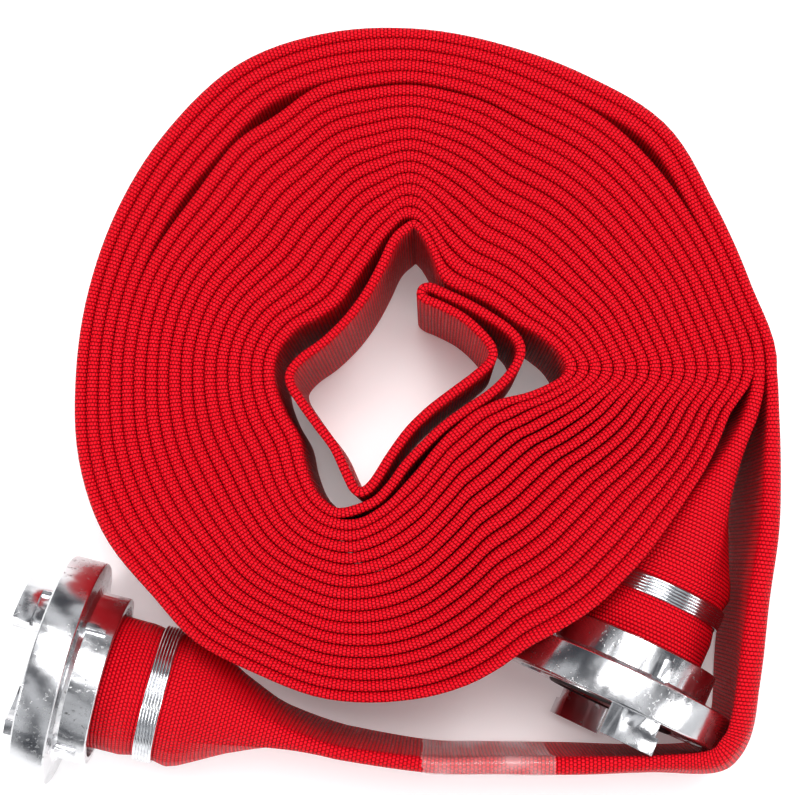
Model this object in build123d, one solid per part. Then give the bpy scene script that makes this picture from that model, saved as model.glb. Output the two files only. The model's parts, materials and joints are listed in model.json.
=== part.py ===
from build123d import *
import math
import os

# ---------------------------------------------------------------- driving sizes, mm
# A rolled lay-flat fire hose of 52 mm bore with a quarter-turn claw coupling on each end.
# Drawn with the roll's centre over the origin, the floor at z = 0, and moved at the end
# so that the origin is the middle of the whole object's footprint.
JACKET = 1.3                          # one layer of the woven jacket
LINING = 0.8                          # one layer of the rubber lining
FLAT_WIDTH = 85.0                     # the emptied hose, standing on its edge
ROUND_R = 28.0                        # outside of the hose where it is round
FILL = 0.36                           # half a layer's thickness over the spacing of layers

LAYERS = 17.5                         # bands from the innermost strand to the outermost
WIND_STEP = 5.0                       # degrees between points of the winding
INNER_START = 240.0                   # where the outer strand starts to wind, degrees
INNER_LAYER = 1 - (INNER_START - 90) / 180
OUTER_END = -2880.0                   # eight full turns, ending on the right
INNER_END = -2870.0                   # the inner strand leaves a little earlier
CURVE_POINTS = 6                     # points in each curve of the outline

RING_R = 49.0                         # coupling: outside of the lug ring
RING_WIDTH = 15.0
PLATE = 5.5                           # front plate of the lug ring
FLANGE_BACK = 17.0
SLEEVE_R = 36.7
SLEEVE_BACK = 29.0
NECK_BORE_R = 29.0
RECESS_R = 31.3
LUG_IN_R, LUG_OUT_R = 33.2, 41.2
LUG_WIDTH = 22.0
LUG_HEIGHT = 13.0
SLOT_IN_R, SLOT_OUT_R = 32.6, 42.2
TAIL_FLANGE_R = 31.0
TAIL_BODY_R = 28.6
WATERWAY_R = 23.5
SHANK_R = 25.2
TAIL_LENGTH = 61.0
HOSE_START = 18.0                     # the hose begins inside the sleeve
BIND_START = 46.6
WIRE_R = 0.8
WIRE_TURNS = 6
SNAP_R, SNAP_WIRE_R, SNAP_BACK = 28.8, 0.9, 10.5
ROUND_END = 62.0                      # the hose is round this far behind the face
FLATTENING_STEPS = 5
TAPE_FROM, TAPE_TO, TAPE_FILM, TAPE_GAP = 0.5, 56.5, 0.3, 0.15
TILT = 4.0                            # both faces look up a little: the rings rest on their back edges

# each coupling: face centre in plan, direction its face looks, angle of its upper lug from
# the top, and the length over which its hose goes from round to flat
FACE_Z = RING_WIDTH * math.sin(math.radians(TILT)) + RING_R * math.cos(math.radians(TILT)) + 0.05
LEFT = {"face": (-163.0, -123.8), "aim": 165.5, "lug": 45.0, "flat_at": 133.0, "flat_half": 2.6}
RIGHT = {"face": (82.3, -140.6), "aim": -115.0, "lug": -9.5, "flat_at": 132.0, "flat_half": 2.2}

# the winding's centre lines: radius of the innermost and of the outermost band by angle
INNER_OUTLINE = [
    (0, 61.3), (8, 59.6), (17, 53.5), (28, 46.8), (43, 43.4), (60, 41.4), (71, 42.0), (78, 46.0),
    (84, 54.5), (90, 62.8), (95, 64.0), (102, 58.5), (112, 50.5), (125, 45.0), (138, 43.0),
    (150, 46.5), (160, 53.5), (172, 59.5), (182, 60.5), (195, 58.8), (208, 57.5), (220, 62.5),
    (230, 67.0), (239, 67.5), (248, 62.5), (256, 52.5), (265, 40.5), (277, 31.5), (290, 27.2),
    (305, 25.8), (320, 26.6), (332, 29.6), (342, 35.5), (350, 47.0),
]
OUTER_OUTLINE = [
    (0, 148.2), (15, 143.4), (30, 143.6), (45, 149.0), (60, 146.6), (75, 146.4), (90, 149.5),
    (105, 153.5), (120, 156.0), (135, 152.5), (150, 149.0), (165, 147.0), (180, 147.5), (195, 151.0),
    (210, 152.5), (225, 149.5), (240, 144.0), (255, 143.0), (270, 137.5), (278, 132.5), (285, 126.2),
    (292, 119.6), (301, 117.8), (308, 116.4), (315, 114.3), (325, 113.6), (336, 118.4), (345, 127.2),
    (352, 136.0),
]
# the hose's middle: from the outer strand's first winding point, through the fold, to the inner strand
MIDDLE = [
    (-19.8, -55.0), (-11.6, -47.6), (-4.2, -37.6), (9.0, -24.2), (19.6, -16.2), (30.4, -8.9),
    (37.8, -1.8), (42.4, 5.4), (43.0, 11.6), (38.6, 17.8), (29.6, 24.2), (19.8, 29.8), (9.5, 34.6),
    (5.2, 36.4), (2.2, 35.8), (1.4, 33.1), (3.8, 31.0), (9.0, 28.8), (18.0, 24.0), (25.6, 17.6),
    (31.0, 10.6), (30.6, 4.9), (24.6, -1.0), (14.9, -8.3), (5.1, -15.8), (-3.7, -24.4), (-11.4, -34.9),
    (-18.2, -45.6), (-22.8, -49.8), (-26.6, -49.0), (-30.1, -42.4), (-35.2, -31.5), (-42.4, -21.8),
    (-49.6, -11.7), (-53.6, -5.0), (-53.8, 0.4), (-48.9, 6.4), (-39.0, 13.7), (-29.1, 23.7),
    (-21.3, 34.6), (-15.4, 45.6), (-10.5, 56.0), (-5.4, 61.4),
]
MIDDLE_HALF = 1.75
# free runs, from the end of the winding to each coupling: x, y, half thickness
LEFT_RUN = [
    (150.2, -16.0, 2.4), (149.4, -40.0, 2.6), (146.6, -66.0, 3.0), (143.4, -95.0, 3.2),
    (140.6, -122.0, 2.9), (138.6, -146.0, 2.8), (134.2, -159.0, 2.8), (124.5, -165.2, 2.6),
    (98.0, -165.6, 2.4), (66.0, -165.4, 2.9), (33.0, -165.0, 3.1), (4.0, -164.0, 3.0),
]
RIGHT_RUN = [(142.6, 10.0, 1.8), (142.9, -6.0, 2.0)]


def spread(table, angle):
    """A smooth closed curve through (angle, value) pairs."""
    angle %= 360
    ring = [(a - 360, v) for a, v in table[-2:]] + table + [(a + 360, v) for a, v in table[:2]]
    k = max(i for i in range(1, len(ring) - 2) if ring[i][0] <= angle)
    (a0, v0), (a1, v1), (a2, v2), (a3, v3) = ring[k - 1:k + 3]
    t = (angle - a1) / (a2 - a1)
    m1 = (v2 - v0) / (a2 - a0) * (a2 - a1)
    m2 = (v3 - v1) / (a3 - a1) * (a2 - a1)
    return ((2 * t**3 - 3 * t**2 + 1) * v1 + (t**3 - 2 * t**2 + t) * m1
            + (3 * t**2 - 2 * t**3) * v2 + (t**3 - t**2) * m2)


def steepness(outline, angle):
    rise = spread(outline, angle + 3) - spread(outline, angle - 3)
    return rise / math.radians(6) / spread(outline, angle)


def band_radius(angle, band):
    """Radius and spacing of a band. Where the strands run steeply, bands lie further apart along
    the radius, so that they keep their distance across the strip."""
    inner, outer = spread(INNER_OUTLINE, angle), spread(OUTER_OUTLINE, angle)
    steep_in, steep_out = steepness(INNER_OUTLINE, angle), steepness(OUTER_OUTLINE, angle)
    parts = 35
    gaps = []
    for k in range(parts):
        out = (k + 0.5) / parts
        gaps.append(math.hypot(1, steep_in * (1 - out)**1.3 + steep_out * out))
    place = band / LAYERS * parts
    whole = max(min(int(place), parts - 1), 0)
    covered = sum(gaps[:whole]) + (place - whole) * gaps[whole]
    return inner + (outer - inner) * covered / sum(gaps), (outer - inner) / sum(gaps) * parts / LAYERS


def winding(start, end, layer):
    """Points of one strand from its inner start outward, clockwise, two bands further out each turn."""
    steps = round((start - end) / WIND_STEP)
    points = []
    for i in range(steps + 1):
        a = start - (start - end) * i / steps
        r, spacing = band_radius(a, layer + (start - a) / 180)
        points.append((r * math.cos(math.radians(a)), r * math.sin(math.radians(a)), FILL * spacing))
    return points


def smooth(points, steps):
    """Points between the given ones, on a smooth curve through them."""
    out = []
    for i in range(1, len(points) - 2):
        p0, p1, p2, p3 = points[i - 1:i + 3]
        for k in range(steps):
            t = k / steps
            out.append(tuple(
                0.5 * (2 * b + (c - a) * t + (2 * a - 5 * b + 4 * c - d) * t**2
                       + (3 * b - a - 3 * c + d) * t**3)
                for a, b, c, d in zip(p0, p1, p2, p3)))
    return out


def along(end, distance, side=0.0):
    """Plan position behind a coupling's face, and to its side."""
    a = math.radians(end["aim"])
    return (end["face"][0] - distance * math.cos(a) - side * math.sin(a),
            end["face"][1] - distance * math.sin(a) + side * math.cos(a))


def hose_route():
    """The emptied hose's centre line with its half thickness, from the left end to the right end."""
    outer_strand = winding(INNER_START, OUTER_END, INNER_LAYER)
    inner_strand = winding(90.0, INNER_END, 0.0)
    middle = [(x, y, MIDDLE_HALF) for x, y in MIDDLE]
    middle = smooth([outer_strand[1], outer_strand[0]] + middle + inner_strand[:2], 3)
    ends = []
    for end in (LEFT, RIGHT):
        ends.append([(*along(end, end["flat_at"] - k), end["flat_half"]) for k in (0, 20)])
    left = smooth([outer_strand[-2], outer_strand[-1]] + LEFT_RUN + ends[0], 3) + ends[0][:1]
    right = smooth([inner_strand[-2], inner_strand[-1]] + RIGHT_RUN + ends[1], 3) + ends[1][:1]
    return left[::-1] + outer_strand[::-1][1:-1] + middle + inner_strand + right[1:]


def edge_curves(points):
    """A long smooth curve as shorter ones that share their end directions."""
    curves = []
    for first in range(0, len(points) - 1, CURVE_POINTS):
        last = min(first + CURVE_POINTS, len(points) - 1)
        ends = []
        for i in (first, last):
            a, b = points[max(i - 1, 0)], points[min(i + 1, len(points) - 1)]
            ends.append((b[0] - a[0], b[1] - a[1], 0))
        curves.append(Spline(*points[first:last + 1], tangents=ends))
    return curves


def strip(route, low, high):
    """A wall standing on its edge along the route."""
    sides = ([], [])
    for i, (x, y, half) in enumerate(route):
        xa, ya, _ = route[max(i - 1, 0)]
        xb, yb, _ = route[min(i + 1, len(route) - 1)]
        n = math.hypot(xb - xa, yb - ya)
        dx, dy = (yb - ya) / n * half, (xa - xb) / n * half
        sides[0].append((x + dx, y + dy, low))
        sides[1].append((x - dx, y - dy, low))
    caps = [Line(sides[0][-1], sides[1][-1]), Line(sides[1][0], sides[0][0])]
    outline = Wire(edge_curves(sides[0]) + [caps[0]] + edge_curves(sides[1][::-1]) + [caps[1]])
    return extrude(Face(outline), amount=high - low, dir=(0, 0, 1))


# ---------------------------------------------------------------- the coupling, its axis along z
# The face is at z = 0, looking up; everything behind it has negative z. x points to the upper lug.
def turned(outline):
    """A ring with the given (radius, height) section."""
    section = Face(Wire(Polyline(*[(r, 0, z) for r, z in outline], close=True).edges()))
    return revolve(section, axis=Axis.Z, revolution_arc=360)


def ring_slab(inner_r, outer_r, low, high):
    slab = Pos(0, 0, low) * extrude(Circle(outer_r), amount=high - low)
    return slab - Pos(0, 0, low - 1) * extrude(Circle(inner_r), amount=high - low + 2)


def sector(inner_r, outer_r, start, end, low, high):
    """Part of a ring between two angles in degrees."""
    reach = outer_r * 2
    corners = [(0, 0)] + [(reach * math.cos(math.radians(start + (end - start) * k / 3)),
                           reach * math.sin(math.radians(start + (end - start) * k / 3))) for k in range(4)]
    wedge = Pos(0, 0, low) * extrude(Face(Wire(Polyline(*corners, close=True).edges())), amount=high - low)
    return ring_slab(inner_r, outer_r, low, high) & wedge


def lug_ring():
    """Cast ring: front plate with two arc slots, skirt, neck, rear flange and open sleeve; two lugs."""
    shell = turned([
        (RECESS_R, 0), (RING_R - 0.8, 0), (RING_R, -0.8), (RING_R, -RING_WIDTH + 0.6),
        (RING_R - 0.6, -RING_WIDTH), (SLEEVE_R + 2.4, -RING_WIDTH - 0.3), (SLEEVE_R, -FLANGE_BACK),
        (SLEEVE_R, -SLEEVE_BACK + 0.5), (SLEEVE_R - 0.5, -SLEEVE_BACK), (SLEEVE_R - 3.5, -SLEEVE_BACK),
        (SLEEVE_R - 3.5, -FLANGE_BACK), (NECK_BORE_R, -FLANGE_BACK), (NECK_BORE_R, -SNAP_BACK - 1.0),
        (NECK_BORE_R + 1.1, -SNAP_BACK - 1.0), (NECK_BORE_R + 1.1, -SNAP_BACK + 1.6),
        (NECK_BORE_R, -SNAP_BACK + 1.6), (NECK_BORE_R, -PLATE), (RECESS_R, -PLATE),
    ])
    cavity = turned([
        (SLOT_IN_R, -PLATE), (RING_R - 3.5, -PLATE), (RING_R - 3.5, -RING_WIDTH + 2),
        (SLOT_IN_R, -RING_WIDTH + 2),
    ])
    body = shell - cavity
    lug_half = math.degrees(LUG_WIDTH / 2 / 37)
    for side in (0, 180):
        body -= sector(SLOT_IN_R, SLOT_OUT_R, side + 32, side + 118, -PLATE - 1, 1)
        neck = sector(LUG_IN_R, LUG_OUT_R - 2.6, side - lug_half, side + lug_half, -PLATE, LUG_HEIGHT - 5)
        stop = sector(LUG_IN_R, LUG_OUT_R, side + lug_half - 9, side + lug_half, -PLATE, LUG_HEIGHT)
        head = sector(LUG_IN_R, LUG_OUT_R, side - lug_half, side + lug_half, LUG_HEIGHT - 7.5, LUG_HEIGHT)
        body += neck + stop + head
    for k in range(4):
        rib = Box(3.4, 3.3, 8.8)
        body += Rot(0, 0, 90 * k - 7) * Pos(SLEEVE_R + 0.2, 0, -FLANGE_BACK - 4.0) * rib
    return body


def hose_tail():
    """Tail piece: front flange with a seal groove, body with a snap groove, serrated hose shank."""
    barbs = []
    for k in range(4):
        z = -TAIL_LENGTH + 3 + 10.5 * k
        barbs += [(SHANK_R, z), (SHANK_R + 0.45, z + 2.5), (SHANK_R + 0.45, z + 3.2), (SHANK_R, z + 3.3)]
    return turned([
        (WATERWAY_R, 0.3), (WATERWAY_R, -TAIL_LENGTH), (SHANK_R - 0.6, -TAIL_LENGTH)] + barbs + [
        (SHANK_R, -HOSE_START + 0.5), (TAIL_BODY_R, -HOSE_START + 0.5),
        (TAIL_BODY_R, -SNAP_BACK - 1.0), (TAIL_BODY_R - 0.8, -SNAP_BACK - 1.0),
        (TAIL_BODY_R - 0.8, -SNAP_BACK + 1.0), (TAIL_BODY_R, -SNAP_BACK + 1.0),
        (TAIL_BODY_R, -PLATE + 1.2), (TAIL_FLANGE_R, -PLATE + 1.2), (TAIL_FLANGE_R, 0),
        (28.4, 0), (28.4, -3.2), (24.8, -3.2), (24.8, 0.3),
    ])


def face_seal():
    """Black rubber ring in the tail's groove, with a raised sealing lip."""
    return turned([(24.9, -3.1), (28.3, -3.1), (28.3, 0.4), (27.4, 1.1), (25.8, 1.1), (24.9, 0.4)])


def snap_ring():
    """Spring wire that holds the lug ring on the tail, with a gap in it."""
    whole = Pos(0, 0, -SNAP_BACK) * Torus(SNAP_R, SNAP_WIRE_R)
    return whole - Pos(-SNAP_R, 0, -SNAP_BACK) * Box(8, 7, 4)


def wire_binding():
    """Bright steel wire wound six times round the hose over the shank."""
    bore = ROUND_R + 0.05
    length = 2 * WIRE_R * WIRE_TURNS
    band = ring_slab(bore, bore + WIRE_R, -BIND_START - length + WIRE_R, -BIND_START - WIRE_R)
    for k in range(WIRE_TURNS):
        band += Pos(0, 0, -BIND_START - WIRE_R * (2 * k + 1)) * Torus(bore + WIRE_R, WIRE_R + 0.01)
    return band


# ---------------------------------------------------------------- the hose's two ends
def stadium(wide, high):
    """Closed outline with straight sides and round ends, standing upright."""
    return SlotOverall(high, wide, rotation=90)


def tube_skin(end, trim):
    """The space inside one skin of the hose's end: round, then flattening to a standing strip.
    The length round the hose stays the same all along."""
    around = 2 * math.pi * ROUND_R
    rise = math.tan(math.radians(TILT))
    a = math.radians(end["aim"])
    sections = []
    for k in range(FLATTENING_STEPS + 1):
        t = k / FLATTENING_STEPS
        ease = 3 * t**2 - 2 * t**3
        wide = 2 * ROUND_R - 0.2 + (2 * end["flat_half"] - 2 * ROUND_R + 0.2) * ease
        high = min((around - (math.pi - 2) * wide) / 2, FLAT_WIDTH)
        start = FACE_Z - rise * ROUND_END
        middle = start + (FLAT_WIDTH / 2 - start) * ease
        x, y = along(end, ROUND_END + (end["flat_at"] - ROUND_END) * t)
        plane = Plane(origin=(x, y, middle), x_dir=(-math.sin(a), math.cos(a), 0),
                      z_dir=(math.cos(a), math.sin(a), 0))
        sections.append(plane * stadium(max(wide - 2 * trim, 0.8), high - 2 * trim))
    return loft(sections)


def hose_end(end, outer_trim, inner_trim):
    """One layer of the hose's end: a tube on the shank and the flattening stretch behind it."""
    tube = placed(end, ring_slab(ROUND_R - inner_trim, ROUND_R - outer_trim, -ROUND_END - 2.5, -HOSE_START))
    tube &= Pos(*along(end, ROUND_END - 100), FACE_Z) * Rot(0, 0, end["aim"]) * Box(200, 200, 200)
    return tube + (tube_skin(end, outer_trim) - tube_skin(end, inner_trim))


def coupling_plane(end):
    a, t = math.radians(end["aim"]), math.radians(TILT)
    axis = Vector(math.cos(a) * math.cos(t), math.sin(a) * math.cos(t), math.sin(t))
    up = Vector(0, 0, 1) - axis * math.sin(t)
    return Plane(origin=(*end["face"], FACE_Z), x_dir=up, z_dir=axis)


def placed(end, shape, turn=0.0):
    return coupling_plane(end) * (Rot(0, 0, turn) * shape)


# ---------------------------------------------------------------- the tape on the left run
def tape_band(route):
    """Clear film wound round the left run: over both faces and the top edge, down to the floor."""
    stretch = [p for p in route[:40] if TAPE_FROM - 12 < p[0] < TAPE_TO + 16 and p[1] < -150]
    outside = strip([(x, y, h + TAPE_GAP + TAPE_FILM) for x, y, h in stretch], 0, FLAT_WIDTH + TAPE_FILM)
    inside = strip([(x, y, h + TAPE_GAP) for x, y, h in stretch], -1, FLAT_WIDTH)
    span = TAPE_TO - TAPE_FROM
    return (outside - inside) & Pos(TAPE_FROM + span / 2, stretch[0][1], 0) * Box(span, 60, 400)


# ---------------------------------------------------------------- all nodes
def build():
    route = hose_route()
    nodes = {"hose_roll": strip(route, 0, FLAT_WIDTH), "clear_tape_band": tape_band(route)}
    for name, end in (("left", LEFT), ("right", RIGHT)):
        nodes[name + "_lug_ring"] = placed(end, lug_ring(), end["lug"])
        nodes[name + "_hose_tail"] = placed(end, hose_tail())
        nodes[name + "_face_seal"] = placed(end, face_seal())
        nodes[name + "_snap_ring"] = placed(end, snap_ring(), 60)
        nodes[name + "_wire_binding"] = placed(end, wire_binding())
        nodes[name + "_hose_end"] = hose_end(end, 0, JACKET)
        nodes[name + "_hose_end_lining"] = hose_end(end, JACKET, JACKET + LINING)
    whole = Compound(children=[Compound(shape.wrapped) for shape in nodes.values()]).bounding_box()
    shift = Pos(-whole.center().X, -whole.center().Y, 0)
    return {name: shift * shape for name, shape in nodes.items()}, shift, route


if __name__ == "__main__":
    os.makedirs("parts", exist_ok=True)
    parts, shift, route = build()
    for name, shape in parts.items():
        export_step(shape, "parts/" + name + ".step")
    flat = sum(math.dist(a[:2], b[:2]) for a, b in zip(route, route[1:]))
    ends = sum(end["flat_at"] - HOSE_START for end in (LEFT, RIGHT))
    print("hose length", round(flat + ends), "mm; moved by", shift.position.X, shift.position.Y)
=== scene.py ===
import json
import math

import bmesh
import bpy
from mathutils import Matrix, Vector, noise


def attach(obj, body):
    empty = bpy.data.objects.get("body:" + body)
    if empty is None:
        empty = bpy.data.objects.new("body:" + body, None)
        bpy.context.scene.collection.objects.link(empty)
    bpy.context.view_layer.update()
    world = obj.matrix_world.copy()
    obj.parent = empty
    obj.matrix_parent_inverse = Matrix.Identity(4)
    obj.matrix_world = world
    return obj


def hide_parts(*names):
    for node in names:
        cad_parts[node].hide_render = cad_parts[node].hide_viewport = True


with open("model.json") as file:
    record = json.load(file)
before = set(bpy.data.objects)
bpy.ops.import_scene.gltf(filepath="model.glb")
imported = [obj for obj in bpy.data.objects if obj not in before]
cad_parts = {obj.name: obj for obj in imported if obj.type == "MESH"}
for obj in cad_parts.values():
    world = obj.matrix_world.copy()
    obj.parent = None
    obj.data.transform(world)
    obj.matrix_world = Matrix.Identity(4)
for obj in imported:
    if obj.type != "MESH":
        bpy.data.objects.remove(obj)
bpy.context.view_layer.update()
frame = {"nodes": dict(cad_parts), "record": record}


# ============================================================ camera
# A long lens over the roll, on the couplings' side of its middle and looking a little away
# from them. Places are taken from the roll's middle; the left ring's pivot gives the origin.
MM = 0.001
LEFT_FACE = (-163.0 * MM, -123.8 * MM)
joints = {joint["name"]: joint for joint in frame["record"]["behaviour"]["joints"]}
pivot = joints["left_ring_turn"]["pos_m"]
middle_x, middle_y = pivot[0] - LEFT_FACE[0], pivot[1] - LEFT_FACE[1]

CAMERA_AT = (4.9 * MM, -78.5 * MM, 733.0 * MM)
CAMERA_LEAN = math.radians(5.97)
CAMERA_ROLL = math.radians(1.235)
LENS, SENSOR = 70.4, 36.0

camera_data = bpy.data.cameras.new("overhead_camera")
camera_data.sensor_fit = "VERTICAL"
camera_data.sensor_height = SENSOR
camera_data.lens = LENS
camera = bpy.data.objects.new("overhead_camera", camera_data)
bpy.context.scene.collection.objects.link(camera)
camera.matrix_world = (
    Matrix.Translation((CAMERA_AT[0] + middle_x, CAMERA_AT[1] + middle_y, CAMERA_AT[2]))
    @ Matrix.Rotation(CAMERA_ROLL, 4, "Y") @ Matrix.Rotation(CAMERA_LEAN, 4, "X"))
bpy.context.scene.camera = camera


# ============================================================ the hose
# One 52 mm hose of woven polyester, emptied flat, folded at its middle and wound double on
# its edge. Each end goes round over the coupling's shank, where wire binds it.
RIGHT_FACE = (82.3 * MM, -140.6 * MM)
LEFT_AIM, RIGHT_AIM = math.radians(165.5), math.radians(-115.0)
TILT = math.radians(4.0)                # both couplings' faces look up by this
face_z = pivot[2]
FLAT_WIDTH = 85 * MM
ROUND_RADIUS = 28 * MM
ROUND_END = 62 * MM                     # round as far as this behind a coupling's face
HOSE_START = 18.5 * MM                  # and its cut end stands this far behind the face
BANDS = 17.5                            # from the hole to the rim
WIND_STEP = 2.4                         # degrees between stations of the winding
OUTER_START, OUTER_END = 240.0, -2880.0
INNER_START, INNER_END = 90.0, -2870.0
STRAND_FILL = 0.485                     # half thickness over the room that a band has
STEEP_OVER = 14                         # degrees each way that an outline's slope is taken over

# radius in mm by angle in degrees, of the innermost band and of the outermost
INNER_OUTLINE = [
    (0, 61.3), (8, 59.6), (17, 53.5), (28, 46.8), (43, 43.4), (60, 41.4), (71, 42.0), (78, 46.0),
    (84, 54.5), (90, 62.8), (95, 64.0), (102, 58.5), (112, 50.5), (125, 45.0), (138, 43.0),
    (150, 46.5), (160, 53.5), (172, 59.5), (182, 60.5), (195, 58.8), (208, 57.5), (220, 62.5),
    (230, 67.0), (239, 67.5), (248, 62.5), (256, 52.5), (265, 40.5), (277, 31.5), (290, 27.2),
    (305, 25.8), (320, 26.6), (332, 29.6), (342, 35.5), (350, 47.0),
]
OUTER_OUTLINE = [
    (0, 148.2), (15, 143.4), (30, 143.6), (45, 149.0), (60, 146.6), (75, 146.4), (90, 149.5),
    (105, 153.5), (120, 156.0), (135, 152.5), (150, 149.0), (165, 147.0), (180, 147.5), (195, 151.0),
    (210, 152.5), (225, 149.5), (240, 144.0), (255, 143.0), (270, 137.5), (278, 132.5), (285, 126.2),
    (292, 119.6), (301, 117.8), (308, 116.4), (315, 114.3), (325, 113.6), (336, 118.4), (345, 127.2),
    (352, 136.0),
]
# how far the outermost bands' tops lean out over the right coupling
TOP_LEAN = [
    (0, 0.0), (90, 0.0), (180, 0.0), (220, 0.0), (232, 2.5), (250, 2.0), (262, 2.0), (272, 3.5),
    (282, 7.0), (292, 10.5), (301, 12.0), (315, 15.0), (325, 16.0), (338, 12.0), (346, 7.0), (354, 1.0),
]
# where the bands lie loose: middle and half width in degrees, band, and gap in band widths
POCKETS = [(44, 10, 15.7, 0.65), (93, 22, 12.9, 0.25), (118.5, 7, 13.3, 0.85), (142, 12, 13.2, 0.45),
           (219, 9, 16.8, 0.5)]
# the fold in the roll's middle: the line from one strand's start to the other's
MIDDLE_HALF = 2.0
MIDDLE = [
    (-19.8, -55.0), (-11.6, -47.6), (-4.2, -37.6), (9.0, -24.2), (19.6, -16.2), (30.4, -8.9),
    (37.8, -1.8), (42.4, 5.4), (43.0, 11.6), (38.6, 17.8), (29.6, 24.2), (19.8, 29.8), (9.5, 34.6),
    (5.2, 36.4), (2.2, 35.8), (1.4, 33.1), (3.8, 31.0), (9.0, 28.8), (18.0, 24.0), (25.6, 17.6),
    (31.0, 10.6), (30.6, 4.9), (24.6, -1.0), (14.9, -8.3), (5.1, -15.8), (-3.7, -24.4), (-11.4, -34.9),
    (-18.2, -45.6), (-22.8, -49.8), (-26.6, -49.0), (-30.1, -42.4), (-35.2, -31.5), (-42.4, -21.8),
    (-49.6, -11.7), (-53.6, -5.0), (-53.8, 0.4), (-48.9, 6.4), (-39.0, 13.7), (-29.1, 23.7),
    (-21.3, 34.6), (-15.4, 45.6), (-10.5, 56.0), (-5.4, 61.4),
]
# the left run: x, y, half thickness, and how far its top leans in x and y
LEFT_RUN = [
    (150.2, -16.0, 2.6, -2.0, 0.0), (149.4, -40.0, 3.6, -2.0, 0.0), (146.6, -66.0, 4.2, -0.8, 0.0),
    (143.4, -95.0, 4.6, -3.2, 0.0), (140.6, -122.0, 4.9, -4.6, 0.0), (138.6, -146.0, 4.6, -7.4, 2.0),
    (134.2, -159.0, 4.2, -8.2, 6.0), (124.5, -165.2, 3.9, -6.0, 6.4), (98.0, -165.6, 3.0, 0.0, 5.4),
    (66.0, -165.4, 3.7, 0.0, 3.8), (33.0, -165.0, 3.6, 0.0, 3.2), (4.0, -164.0, 3.3, 0.0, 2.2),
]
LEFT_FLAT_AT, LEFT_FLAT_HALF = 133.0, 2.9
# the right run, on its way down to its coupling
RIGHT_RUN = [(142.6, 10.0, 2.2, 0.0, 0.0), (142.9, -6.0, 2.6, -0.6, 0.0)]
RIGHT_FLAT_AT, RIGHT_FLAT_HALF = 132.0, 3.0


def spread(table, angle):
    """The table's value at any angle, on a smooth curve through its rows."""
    angle %= 360
    ring = [(a - 360, v) for a, v in table[-2:]] + table + [(a + 360, v) for a, v in table[:2]]
    k = max(i for i in range(1, len(ring) - 2) if ring[i][0] <= angle)
    (a0, v0), (a1, v1), (a2, v2), (a3, v3) = ring[k - 1:k + 3]
    t = (angle - a1) / (a2 - a1)
    m1 = (v2 - v0) / (a2 - a0) * (a2 - a1)
    m2 = (v3 - v1) / (a3 - a1) * (a2 - a1)
    return ((2 * t**3 - 3 * t**2 + 1) * v1 + (t**3 - 2 * t**2 + t) * m1
            + (3 * t**2 - 2 * t**3) * v2 + (t**3 - t**2) * m2)


def steepness(outline, angle):
    """How fast an outline's radius changes, as the tangent of its slope."""
    rise = spread(outline, angle + STEEP_OVER) - spread(outline, angle - STEEP_OVER)
    return rise / math.radians(2 * STEEP_OVER) / spread(outline, angle)


def ripple(a, b, seed):
    """Smooth unevenness between -1 and 1."""
    return noise.noise(Vector((a, b, seed * 7.31)))


def radius_at(angle, band):
    """Radius of a band in mm, between the innermost outline and the outermost."""
    inner, outer = spread(INNER_OUTLINE, angle), spread(OUTER_OUTLINE, angle)
    steep_in, steep_out = steepness(INNER_OUTLINE, angle), steepness(OUTER_OUTLINE, angle)
    parts = 35
    gaps = []
    for k in range(parts):
        out = (k + 0.5) / parts
        gaps.append(math.hypot(1, steep_in * (1 - out)**1.3 + steep_out * out))
    for at, wide, loose, gap in POCKETS:
        away = ((angle - at + 180) % 360 - 180) / wide
        gaps[int(loose * parts / BANDS)] += 2 * gap * math.exp(-away * away)
    place = band / BANDS * parts
    whole = max(min(int(place), parts - 1), 0)
    covered = sum(gaps[:whole]) + (place - whole) * gaps[whole]
    return inner + (outer - inner) * covered / sum(gaps)


def winding(start, end, band, seed):
    """Stations of one strand: x, y, half thickness, lean in x and y, rise of the top edge."""
    steps = round((start - end) / WIND_STEP)
    bands = [band + (start - end) * i / steps / 180 for i in range(steps + 1)]
    angles = [start - (start - end) * i / steps for i in range(steps + 1)]
    radii = [radius_at(a, n) for a, n in zip(angles, bands)]
    stations = []
    for i, (a, n, radius) in enumerate(zip(angles, bands, radii)):
        turn = math.radians(a)
        k, m = max(i - 1, 0), min(i + 1, steps)
        slope = (radii[m] - radii[k]) / (radius * math.radians((m - k) * WIND_STEP))
        gap = min(radius_at(a, n + 1) - radius, radius - radius_at(a, n - 1)) / math.hypot(1, slope)
        lean = spread(TOP_LEAN, a) * max(n / 16, 0)**1.6
        half = STRAND_FILL * gap * (1 + 0.03 * ripple(i * 0.06, n, seed + 3))
        rise = 0.9 * ripple(math.cos(turn) * 2.2, math.sin(turn) * 2.2 + n * 0.9, seed + 5)
        stations.append((radius * math.cos(turn), radius * math.sin(turn), half,
                         lean * math.cos(turn), lean * math.sin(turn), rise))
    return stations


def smooth(points, steps):
    """Stations between the given ones, on a smooth curve through them."""
    out = []
    for i in range(1, len(points) - 2):
        around = points[i - 1:i + 3]
        for k in range(steps):
            t = k / steps
            out.append(tuple(
                0.5 * (2 * b + (c - a) * t + (2 * a - 5 * b + 4 * c - d) * t**2
                       + (3 * b - a - 3 * c + d) * t**3)
                for a, b, c, d in zip(*around)))
    return out


def behind(face, aim, distance):
    """The place this many mm behind a coupling's face."""
    return face[0] / MM - distance * math.cos(aim), face[1] / MM - distance * math.sin(aim)


def flat_end(face, aim, distance, half):
    """The station where the hose is first flat behind a coupling, and one on its way there."""
    return [(*behind(face, aim, distance - k), half, 0, 0, 0) for k in (0, 20)]


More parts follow.
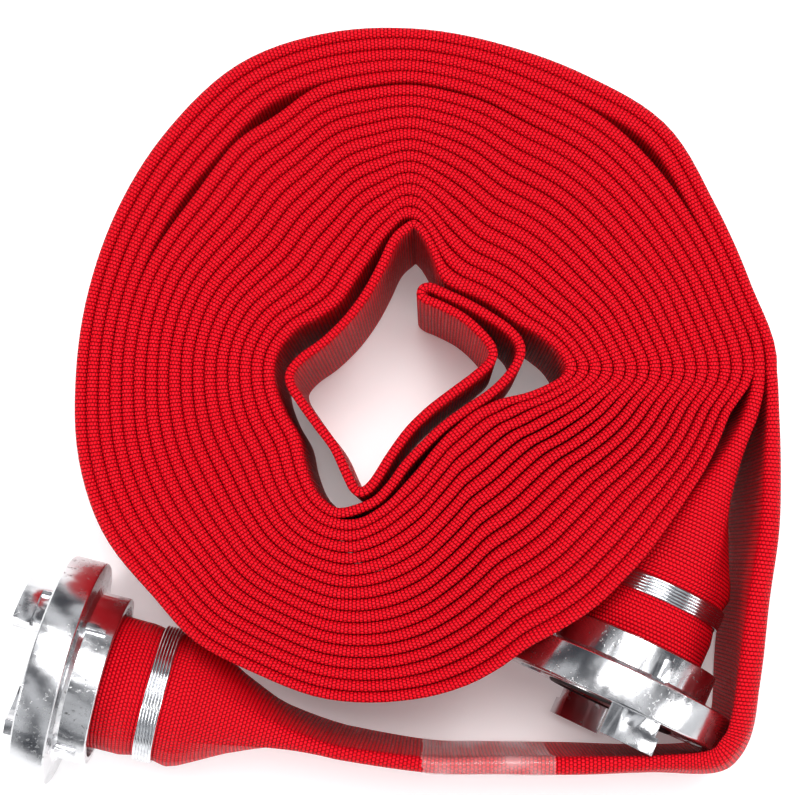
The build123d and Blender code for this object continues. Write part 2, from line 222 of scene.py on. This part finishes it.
outer_strand = winding(OUTER_START, OUTER_END, 1 - (OUTER_START - INNER_START) / 180, 1)
inner_strand = winding(INNER_START, INNER_END, 0.0, 2)
middle = [(x, y, MIDDLE_HALF, 0, 0, 0) for x, y in MIDDLE]
middle = smooth([outer_strand[4], outer_strand[0]] + middle + [inner_strand[0], inner_strand[4]], 5)
left_end = flat_end(LEFT_FACE, LEFT_AIM, LEFT_FLAT_AT, LEFT_FLAT_HALF)
right_end = flat_end(RIGHT_FACE, RIGHT_AIM, RIGHT_FLAT_AT, RIGHT_FLAT_HALF)
left_run = smooth([outer_strand[-4], outer_strand[-1]] + [(*p, 0) for p in LEFT_RUN] + left_end, 9)
right_run = smooth([inner_strand[-4], inner_strand[-1]] + [(*p, 0) for p in RIGHT_RUN] + right_end, 7)
flat_route = (left_end[:1] + left_run[::-1] + outer_strand[::-1][1:-1] + middle
              + inner_strand + right_run[1:] + right_end[:1])


class Socket:
    """A node's output, so that maths on it can be written as maths."""

    def __init__(self, tree, socket):
        self.tree, self.socket = tree, socket

    def node(self, kind, settings=None, inputs=None, out=0):
        made = self.tree.nodes.new(kind)
        for name, value in (settings or {}).items():
            setattr(made, name, value)
        for name, value in (inputs or {}).items():
            self.feed(made.inputs[name], value)
        return Socket(self.tree, made.outputs[out])

    def feed(self, socket, value):
        if isinstance(value, Socket):
            self.tree.links.new(value.socket, socket)
        else:
            socket.default_value = value

    def math(self, operation, *values):
        return self.node("ShaderNodeMath", {"operation": operation}, dict(enumerate((self, *values))))

    def clipped(self):
        return self.node("ShaderNodeMath", {"operation": "ADD", "use_clamp": True}, {0: self, 1: 0.0})

    def step(self, low, high):
        """0 below low, 1 above high, smooth between."""
        return self.node("ShaderNodeMapRange", {"interpolation_type": "SMOOTHSTEP"},
                         {"Value": self, "From Min": low, "From Max": high})

    def mix(self, first, second):
        """Colour that goes from first to second as this goes from 0 to 1."""
        return self.node("ShaderNodeMix", {"data_type": "RGBA"}, {0: self, 6: first, 7: second}, out=2)

    def __add__(self, other): return self.math("ADD", other)
    def __radd__(self, other): return self.math("ADD", other)
    def __sub__(self, other): return self.math("SUBTRACT", other)
    def __rsub__(self, other): return (self * -1.0).math("ADD", other)
    def __mul__(self, other): return self.math("MULTIPLY", other)
    def __rmul__(self, other): return self.math("MULTIPLY", other)
    def __truediv__(self, other): return self.math("DIVIDE", other)
    def __rtruediv__(self, other): return self.math("POWER", -1.0) * other
    def __abs__(self): return self.math("ABSOLUTE")


def material(name):
    """A new material: where its nodes start, a maker of noise, and what sets its shader."""
    made = bpy.data.materials.new(name)
    made.use_nodes = True
    tree = made.node_tree
    shader = tree.nodes["Principled BSDF"]
    start = Socket(tree, None)

    def noise_of(scale, detail=2.0, squeeze=(1, 1, 1)):
        place = start.node("ShaderNodeTexCoord", out="Object")
        place = start.node("ShaderNodeMapping", inputs={"Vector": place, "Scale": squeeze})
        return start.node("ShaderNodeTexNoise", inputs={"Vector": place, "Scale": scale, "Detail": detail})

    def finish(height=None, distance=0.0001, **inputs):
        for key, value in inputs.items():
            start.feed(shader.inputs[key.replace("_", " ").title().replace("Ior", "IOR")], value)
        if height is not None:
            bump = start.node("ShaderNodeBump", inputs={"Height": height, "Distance": distance})
            start.feed(shader.inputs["Normal"], bump)
        return made

    return start, noise_of, finish


RIB = 1.62 * MM                         # from one cord across the hose to the next
BEAD = 1.75 * MM                        # from one bead of a cord to the next


def woven_jacket():
    """Red polyester cord woven across the hose: rows of small beads, each row set half a bead over, with
    painted shade in the grooves and a painted highlight on the highest beads.
    """
    start, noise_of, finish = material("woven_jacket")
    place = start.node("ShaderNodeSeparateXYZ", inputs={"Vector": start.node("ShaderNodeUVMap", out=0)})
    along = place + (noise_of(60.0, 1.0) - 0.5) * (0.35 * MM)
    around = Socket(place.tree, place.socket.node.outputs[1]) + (noise_of(75.0, 1.0) - 0.5) * (0.3 * MM)
    row = (along / RIB).math("FLOOR")
    ridge = abs((along * (math.pi / RIB)).math("SINE"))
    bead = abs(((around / BEAD + row * 0.5) * math.pi).math("SINE"))
    height = ridge.math("POWER", 0.6) * (0.22 + bead.math("POWER", 0.6) * 0.78)
    # noise that roughens the cord and also breaks the painted highlight into glints
    fleck_and_glint = noise_of(900.0, 2.0)
    broad = noise_of(14.0, 3.0)
    # colours: painted shade for the grooves, the cord's own red, and a painted highlight for the bead tops
    painted_groove_shade, red, painted_bead_highlight = (0.13, 0.0002, 0.0020, 1), (0.77, 0.0003, 0.0090, 1), (0.96, 0.010, 0.030, 1)
    # painted shade: darker where the weave lies low
    colour = height.step(0.1, 0.75).mix(painted_groove_shade, red)
    # painted highlight: pale glints on the highest beads
    colour = ((height.step(0.6, 1.0) * fleck_and_glint.step(0.35, 0.7)) * 0.75).clipped().mix(colour, painted_bead_highlight)
    colour = (broad.step(0.3, 0.75) * 0.22).mix(colour, (0.50, 0.0003, 0.006, 1))
    return finish(height=height + fleck_and_glint * 0.15, distance=0.7 * MM, base_color=colour,
                  roughness=0.58 - fleck_and_glint.step(0.4, 0.7) * 0.14, specular_ior_level=0.12)


def mesh_piece(name, points, faces, finish, uvs=None):
    """A smooth piece in the scene, its material and perhaps a UV map."""
    mesh = bpy.data.meshes.new(name)
    mesh.from_pydata(points, [], faces)
    if uvs:
        layer = mesh.uv_layers.new(name="weave")
        layer.data.foreach_set("uv", [c for corner in uvs for c in corner])
    mesh.shade_smooth()
    mesh.materials.append(finish)
    piece = bpy.data.objects.new(name, mesh)
    bpy.context.scene.collection.objects.link(piece)
    return piece


ARC, SIDE = 8, 7                        # stretches round an edge and down a side
TOP_CURVE_FROM, TOP_CURVE_OVER = 45.0, 40.0
FLATTENING_RINGS = 26
LIP_RINGS, LINING_RINGS = 9, 32         # how far back the jacket's inside and the lining go
ROUND_STATIONS = [21, 25, 29, 33, 37, 41, 44, 45.6, 46.4, 48, 51, 54, 56.4, 57.2, 58.6, 60.4, 62.4]
around_round = 2 * math.pi * ROUND_RADIUS / MM


def stadium(half, high):
    """Points round a standing strip's section, in mm: (sideways, up) from its middle."""
    straight = max(high - 2 * half, 0.0)
    points = []
    for sign in (1, -1):
        for k in range(SIDE):
            points.append((sign * half, sign * straight * (k / SIDE - 0.5)))
        for k in range(ARC):
            turn = math.pi * k / ARC + (0 if sign > 0 else math.pi)
            points.append((half * math.cos(turn), sign * straight / 2 + half * math.sin(turn)))
    return points


def part_round(half, ease, inset=0.0):
    """Section between round (ease 0) and flat (ease 1); the length round it hardly changes."""
    flat = stadium(half, FLAT_WIDTH / MM)
    radius = ROUND_RADIUS / MM
    blend = []
    for k, (s, z) in enumerate(flat):
        turn = 2 * math.pi * (k - SIDE / 2) / len(flat)
        turn += 0.3 * math.sin(2 * turn)
        blend.append(((radius * math.cos(turn)) * (1 - ease) + s * ease,
                      (radius * math.sin(turn)) * (1 - ease) + z * ease))
    wanted = around_round * (1 - ease) + length_round(flat) * ease
    stretch = 1.0
    for _ in range(6):
        stretch *= 1 + (wanted / length_round([(s, z * stretch) for s, z in blend]) - 1) * 0.9
    wide = max(s for s, z in blend)
    high = max(z for s, z in blend) * stretch
    return [(s * (1 - inset / wide), z * stretch * (1 - inset / high)) for s, z in blend]


def length_round(section):
    """Length round a closed section."""
    return sum(math.dist(a, b) for a, b in zip(section, section[1:] + section[:1]))


def flat_rings(route):
    """Rings of points for the standing strip along the route."""
    rings = []
    for i, (x, y, half, lean_x, lean_y, rise) in enumerate(route):
        before, after = route[max(i - 1, 0)], route[min(i + 1, len(route) - 1)]
        along = Vector((after[0] - before[0], after[1] - before[1])).normalized()
        side = Vector((-along.y, along.x))
        ring = []
        for s, z in stadium(half, FLAT_WIDTH / MM):
            z += FLAT_WIDTH / MM / 2
            up = max(z - TOP_CURVE_FROM, 0) / TOP_CURVE_OVER
            ring.append((x + side.x * s + lean_x * up * up, y + side.y * s + lean_y * up * up,
                         z + rise * up * up))
        rings.append(ring)
    return rings


BIND_START, WIRE_TURNS, WIRE_RADIUS = 46.6, 6, 0.8
BIND_END = BIND_START + WIRE_TURNS * 2 * WIRE_RADIUS


def end_rings(face, aim, flat_at, flat_half, way, inset=0.0, back_to=None):
    """Rings from the coupling back to where the hose is flat, in mm. way is -1 where the
    route leaves the coupling and 1 where it comes to it."""
    rings = []
    out = (math.cos(aim), math.sin(aim))
    side = (-out[1] * way, out[0] * way)
    face = (face[0] / MM, face[1] / MM)
    level, end, mouth = face_z / MM, ROUND_END / MM, HOSE_START / MM
    bound = (BIND_START + BIND_END) / 2
    for d in [mouth] + ROUND_STATIONS:
        clear = max(abs(d - bound) - (BIND_END - BIND_START) / 2, 0)
        swell = 1.0 * min(clear / 5, 1)
        ring = []
        for s, z in part_round(flat_half, 0.0, inset):
            turn = math.atan2(z, s)
            uneven = 0.3 * ripple(math.cos(turn) * 3 + d * 0.1, math.sin(turn) * 3, way) * min(clear, 1)
            grow = 1 + (swell + uneven) / (ROUND_RADIUS / MM)
            back = d * math.cos(TILT) + z * math.sin(TILT)
            ring.append((face[0] - out[0] * back + side[0] * s * grow,
                         face[1] - out[1] * back + side[1] * s * grow,
                         level - d * math.sin(TILT) + z * grow * math.cos(TILT)))
        rings.append(ring)
    if back_to:
        return rings[:back_to]
    start = level - math.tan(TILT) * end
    for i in range(1, FLATTENING_RINGS + 1):
        t = i / FLATTENING_RINGS
        ease = 1.5 * t - 0.5 * t**3
        d = end + 2 + (flat_at - end - 2) * t
        middle_z = start + (FLAT_WIDTH / MM / 2 - start) * ease
        swell = (1 - ease) / (ROUND_RADIUS / MM)
        ring = []
        for s, z in part_round(flat_half, ease, inset):
            uneven = 1 + swell + 0.04 * math.sin(math.pi * t) * (1 + ripple(z * 0.05, d * 0.04, way + 4))
            back = d + z * math.sin(TILT) * (1 - ease)
            ring.append((face[0] - out[0] * back + side[0] * s * uneven,
                         face[1] - out[1] * back + side[1] * s * uneven, max(middle_z + z, 0.35)))
        rings.append(ring)
    return rings


def tube(rings, name, finish):
    """A mesh through rings of points in mm, with its length along and around as its UV map."""
    count = len(rings[0])
    centres = [Vector([sum(p[i] for p in ring) / count for i in range(3)]) for ring in rings]
    far = [0.0]
    for a, b in zip(centres, centres[1:]):
        far.append(far[-1] + (b - a).length * MM)
    round_it = []
    for ring in rings:
        lengths = [0.0]
        for a, b in zip(ring, ring[1:] + ring[:1]):
            lengths.append(lengths[-1] + math.dist(a, b) * MM)
        round_it.append(lengths)
    points = [(x * MM + middle_x, y * MM + middle_y, z * MM) for ring in rings for x, y, z in ring]
    faces, uvs = [], []
    for i in range(len(rings) - 1):
        for k in range(count):
            m = (k + 1) % count
            faces.append((i * count + k, i * count + m, (i + 1) * count + m, (i + 1) * count + k))
            uvs += [(far[i], round_it[i][k]), (far[i], round_it[i][k + 1]),
                    (far[i + 1], round_it[i + 1][k + 1]), (far[i + 1], round_it[i + 1][k])]
    return mesh_piece(name, points, faces, finish, uvs), far[-1]


ends = {
    "left": (LEFT_FACE, LEFT_AIM, LEFT_FLAT_AT, LEFT_FLAT_HALF, -1),
    "right": (RIGHT_FACE, RIGHT_AIM, RIGHT_FLAT_AT, RIGHT_FLAT_HALF, 1),
}
JACKET, LINING = 1.3, 0.8               # mm, one layer of each
left_lip, right_lip = (end_rings(*ends[name], JACKET, LIP_RINGS) for name in ("left", "right"))
left_rings, right_rings = (end_rings(*ends[name]) for name in ("left", "right"))
rings = left_lip[::-1] + left_rings[:-1] + flat_rings(flat_route) + right_rings[-2::-1] + right_lip
hose, hose_length = tube(rings, "woven_hose", woven_jacket())
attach(hose, "root")
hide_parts("hose_roll", "left_hose_end", "right_hose_end")


# ============================================================ the lining
# A thin black rubber tube glued inside the jacket. It is its own piece where the hose is
# open at its two ends; further on it lies pressed flat inside the jacket.
def rubber(name, tone):
    """Black rubber, dull and a little uneven."""
    start, noise_of, finish = material(name)
    fine = noise_of(400.0, 3.0)
    colour = fine.mix((tone, tone, tone, 1), (tone * 1.8, tone * 1.8, tone * 1.7, 1))
    return finish(height=fine, distance=0.05 * MM, base_color=colour, roughness=0.5 + fine * 0.25)


lining_rubber = rubber("lining_rubber", 0.022)
for name, end in ends.items():
    outer = end_rings(*end, JACKET + 0.1)
    inner = end_rings(*end, JACKET + LINING)
    lining, _ = tube(outer[:LINING_RINGS][::-1] + inner[:LINING_RINGS], name + "_lining",
                     lining_rubber)
    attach(lining, "root")
    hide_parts(name + "_hose_end_lining")


# ============================================================ the wire bindings
# Bright wire wound six times round the hose over each shank, in one closed run of turns.
# Its two ends are tucked under the turns.
WIRE_STEPS, WIRE_SIDES = 96, 10         # stretches in one turn, and round the wire


def bright_wire(name):
    """Bright drawn steel wire with faint streaks."""
    start, noise_of, finish = material(name)
    streak = noise_of(240.0, 3.0)
    colour = streak.step(0.35, 0.75).mix((0.70, 0.71, 0.73, 1), (0.50, 0.51, 0.53, 1))
    return finish(height=streak, distance=0.01 * MM, base_color=colour, metallic=1.0,
                  roughness=0.14 + streak * 0.12)


def coupling_frame(face, aim):
    """Axes of a coupling: x up along its face, z out of its mouth."""
    z = Vector((math.cos(aim) * math.cos(TILT), math.sin(aim) * math.cos(TILT), math.sin(TILT)))
    x = (Vector((0, 0, 1)) - z * math.sin(TILT)).normalized()
    y = z.cross(x)
    place = Matrix.Translation((face[0] + middle_x, face[1] + middle_y, face_z))
    return place @ Matrix((x, y, z)).transposed().to_4x4()


wire_finish = bright_wire("binding_wire")
for name, (face, aim, *_) in ends.items():
    place = coupling_frame(face, aim)
    count, section = WIRE_STEPS * WIRE_TURNS, WIRE_SIDES
    centre_radius = ROUND_RADIUS / MM + WIRE_RADIUS + 0.05
    points = []
    for i in range(count + 1):
        turn = 2 * math.pi * i / WIRE_STEPS
        tuck = min(i, count - i, 8) / 8
        back = BIND_START + WIRE_RADIUS + (BIND_END - BIND_START - 2 * WIRE_RADIUS) * i / count
        radius = centre_radius - 1.0 * (1 - tuck) + 0.06 * ripple(i * 0.11, 0, 9)
        out = Vector((-math.cos(turn), math.sin(turn), 0))
        for k in range(section):
            a = 2 * math.pi * k / section
            spot = out * (radius + WIRE_RADIUS * math.cos(a)) * MM
            spot.z = (-back + WIRE_RADIUS * math.sin(a)) * MM
            points.append(place @ spot)
    faces = [(i * section + k, (i + 1) * section + k, (i + 1) * section + (k + 1) % section,
              i * section + (k + 1) % section) for i in range(count) for k in range(section)]
    faces += [tuple(range(section)), tuple(count * section + k for k in range(section))[::-1]]
    wire = mesh_piece(name + "_wound_wire", points, faces, wire_finish)
    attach(wire, "root")
    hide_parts(name + "_wire_binding")


# ============================================================ the couplings
# Each is a cast aluminium ring with two claws, turning on a turned tail piece, with a rubber
# face seal and a sprung wire ring inside. The castings have softened edges.
def aluminium(name, tone, rough, grain):
    """Aluminium with fine scratches, small dents and darker grime in patches."""
    start, noise_of, finish = material(name)
    scratch = noise_of(120.0, 5.0, squeeze=(1, 1, grain))
    fine = noise_of(600.0, 4.0)
    patch = noise_of(34.0, 5.0)
    pit = fine.step(0.60, 0.70) * patch.step(0.46, 0.60)
    colour = (patch.step(0.46, 0.74) * 0.35).mix((tone, tone, tone * 1.02, 1), (tone * 0.58,) * 3 + (1,))
    colour = (pit * 0.8).mix(colour, (tone * 0.18,) * 3 + (1,))
    height = scratch * 0.35 + patch * 0.4 + fine * 0.1 - pit * 0.4
    return finish(height=height, distance=0.18 * MM, base_color=colour, metallic=1.0,
                  roughness=rough + patch * 0.14 + scratch.step(0.4, 0.8) * 0.12 + pit * 0.2)


def softened(node, name, finish, body, edge):
    """A copy of a CAD part with its edges rounded, standing in for it."""
    mesh = frame["nodes"][node].data.copy()
    work = bmesh.new()
    work.from_mesh(mesh)
    bmesh.ops.remove_doubles(work, verts=work.verts, dist=0.02 * MM)
    bmesh.ops.dissolve_limit(work, angle_limit=math.radians(0.8), verts=work.verts, edges=work.edges,
                             delimit={"NORMAL"})
    work.to_mesh(mesh)
    work.free()
    mesh.materials.clear()
    mesh.materials.append(finish)
    mesh.shade_smooth()
    piece = bpy.data.objects.new(name, mesh)
    bpy.context.scene.collection.objects.link(piece)
    bevel = piece.modifiers.new("rounded_edges", "BEVEL")
    bevel.width, bevel.segments, bevel.limit_method = edge * MM, 2, "ANGLE"
    bevel.angle_limit = math.radians(32)
    bevel.harden_normals = True
    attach(piece, body)
    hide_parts(node)


cast = aluminium("cast_aluminium", 0.70, 0.14, 0.5)
machined = aluminium("machined_aluminium", 0.66, 0.14, 1.0)
seal, spring_wire = rubber("seal_rubber", 0.012), bright_wire("spring_steel")
for name in ends:
    softened(name + "_lug_ring", name + "_claw_ring", cast, name + "_lug_ring", 0.45)
    softened(name + "_hose_tail", name + "_tail_piece", machined, "root", 0.15)
    softened(name + "_face_seal", name + "_rubber_seal", seal, "root", 0.15)
    spring = frame["nodes"][name + "_snap_ring"]
    spring.data.materials.clear()
    spring.data.materials.append(spring_wire)


# ============================================================ the clear tape
# A thin film wound once round the left run to hold it to the roll's edge: down one face,
# over the top edge and down the other. Its left edge is crinkled.
def clear_film():
    """Clear tape gone milky in streaks, so the red shows through it."""
    start, noise_of, finish = material("clear_film")
    crease = noise_of(70.0, 4.0, squeeze=(1, 1, 0.25))
    fine = noise_of(330.0, 3.0)
    milk = crease.step(0.38, 0.72)
    return finish(height=crease + fine * 0.2, distance=0.6 * MM, base_color=(0.85, 0.55, 0.55, 1),
                  roughness=0.16 + fine * 0.14, alpha=0.16 + milk * 0.26, coat_weight=0.4)


TAPE_FROM, TAPE_TO = 0.5, 56.5          # where it lies along x, mm
stretch = [p for p in left_run[::-1] if TAPE_FROM - 8 < p[0] < TAPE_TO + 12 and p[1] < -150]
stretch = sorted(stretch, key=lambda p: p[0])


def run_at(x):
    """The left run's middle, half thickness and lean at this x."""
    k = max(i for i in range(len(stretch) - 1) if stretch[i][0] <= x or i == 0)
    a, b = stretch[k], stretch[k + 1]
    t = (x - a[0]) / (b[0] - a[0])
    return [u + (v - u) * t for u, v in zip(a, b)]


columns, rows = 40, 36
points, faces = [], []
for i in range(columns + 1):
    for k in range(rows + 1):
        share = i / columns
        start = TAPE_FROM + 1.2 * ripple(k * 0.9, 3, 11) + 0.8
        x = start + (TAPE_TO - 0.5 - start) * share
        _, y, half, _, lean, _ = run_at(x)
        half += 0.28 + 0.12 * (1 + ripple(i * 0.35, k * 0.25, 12)) * (2.2 if share < 0.12 else 1)
        top = FLAT_WIDTH / MM - half
        v = (k / rows - 0.5) * 2
        if abs(v) < 0.5:
            a = v * math.pi
            s, z = half * math.sin(a), top + half * math.cos(a) + 0.15
        else:
            s, z = math.copysign(half, v), top - (abs(v) - 0.5) * 2 * (top - 2)
        up = max(z - TOP_CURVE_FROM, 0) / TOP_CURVE_OVER
        points.append((x * MM + middle_x, (y + s + lean * up * up) * MM + middle_y, z * MM))
for i in range(columns):
    for k in range(rows):
        n = i * (rows + 1) + k
        faces.append((n, n + rows + 1, n + rows + 2, n + 1))
tape = mesh_piece("clear_tape", points, faces, clear_film())
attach(tape, "root")
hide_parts("clear_tape_band")


# ============================================================ floor and light
# A white studio floor under one large soft light overhead, with two smaller ones at the sides.
floor_material = bpy.data.materials.new("studio_white")
floor_material.use_nodes = True
floor_shader = floor_material.node_tree.nodes["Principled BSDF"]
floor_shader.inputs["Base Color"].default_value = (0.93, 0.93, 0.93, 1)
floor_shader.inputs["Roughness"].default_value = 0.75
floor_shader.inputs["Emission Color"].default_value = (1, 1, 1, 1)
floor_shader.inputs["Emission Strength"].default_value = 0.18
floor_mesh = bpy.data.meshes.new("studio_floor")
floor_mesh.from_pydata([(-4, -4, 0), (4, -4, 0), (4, 4, 0), (-4, 4, 0)], [], [(0, 1, 2, 3)])
floor_mesh.materials.append(floor_material)
studio_floor = bpy.data.objects.new("studio_floor", floor_mesh)
bpy.context.scene.collection.objects.link(studio_floor)


def soft_light(name, at, size, power, towards=(0, 0, 0.04)):
    """A square area light, its side in metres and its power in watts."""
    lamp = bpy.data.lights.new(name, "AREA")
    lamp.shape, lamp.size, lamp.energy = "SQUARE", size, power
    lit = bpy.data.objects.new(name, lamp)
    bpy.context.scene.collection.objects.link(lit)
    lit.location = at
    lit.rotation_euler = (Vector(towards) - Vector(at)).to_track_quat("-Z", "Y").to_euler()


soft_light("overhead", (0.10, 0.45, 1.5), 0.8, 24)
soft_light("left_side", (-1.2, -0.5, 1.0), 0.5, 9)
soft_light("right_side", (1.1, -0.6, 0.8), 0.5, 7)

# the room round it: bright panels with dark gaps between them, for the metal to mirror
world = bpy.data.worlds.new("studio")
world.use_nodes = True
room = Socket(world.node_tree, None)
towards = room.node("ShaderNodeTexCoord", out=0)
panels = room.node("ShaderNodeTexNoise", inputs={"Vector": towards, "Scale": 2.6, "Detail": 0.5})
background = world.node_tree.nodes["Background"]
room.feed(background.inputs["Color"],
          panels.step(0.44, 0.56).mix((0.03, 0.035, 0.05, 1), (0.95, 0.97, 1, 1)))
room.feed(background.inputs["Strength"], 0.8)
bpy.context.scene.world = world
bpy.context.scene.view_settings.view_transform = "Standard"
